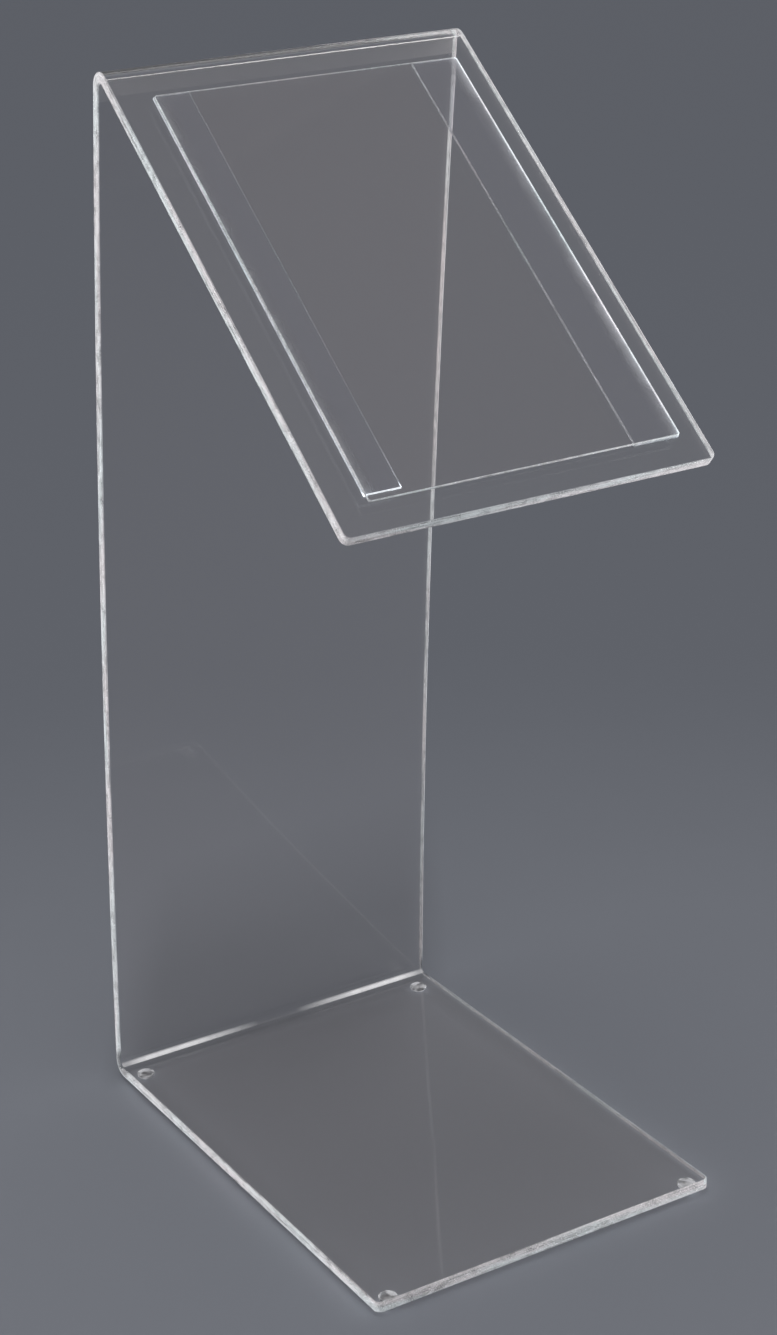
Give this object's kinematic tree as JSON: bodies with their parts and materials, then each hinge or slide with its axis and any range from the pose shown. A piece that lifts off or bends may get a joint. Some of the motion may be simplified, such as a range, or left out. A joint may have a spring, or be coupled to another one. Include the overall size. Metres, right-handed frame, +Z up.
{
  "type": "presentation lectern",
  "caption": "Floor-standing clear acrylic lectern: one bent sheet makes the flat base, the leaning upright and the sloping desk, with a clear cover over a paper pocket on the desk.",
  "frame": {"origin": "on the floor under the feet, at the middle of the box around the whole lectern", "axes": "+Z up; -Y towards the speaker, the way the desk slopes down and the base reaches forward; +X to the right of someone who faces the desk from -Y"},
  "size_m": [0.42, 0.596, 1.192],
  "materials": {
    "clear_acrylic": "polished, with bright diamond-cut edges",
    "cover_acrylic": "polished",
    "strip_acrylic": "polished, bonded",
    "clear_bumper": "clear satin"
  },
  "bodies": {
    "root": {"bent_sheet": "clear_acrylic", "cover_sheet": "cover_acrylic", "spacer_strip_left": "strip_acrylic", "spacer_strip_right": "strip_acrylic", "foot_front_left": "clear_bumper", "foot_front_right": "clear_bumper", "foot_back_left": "clear_bumper", "foot_back_right": "clear_bumper"}
  },
  "joints": []
}
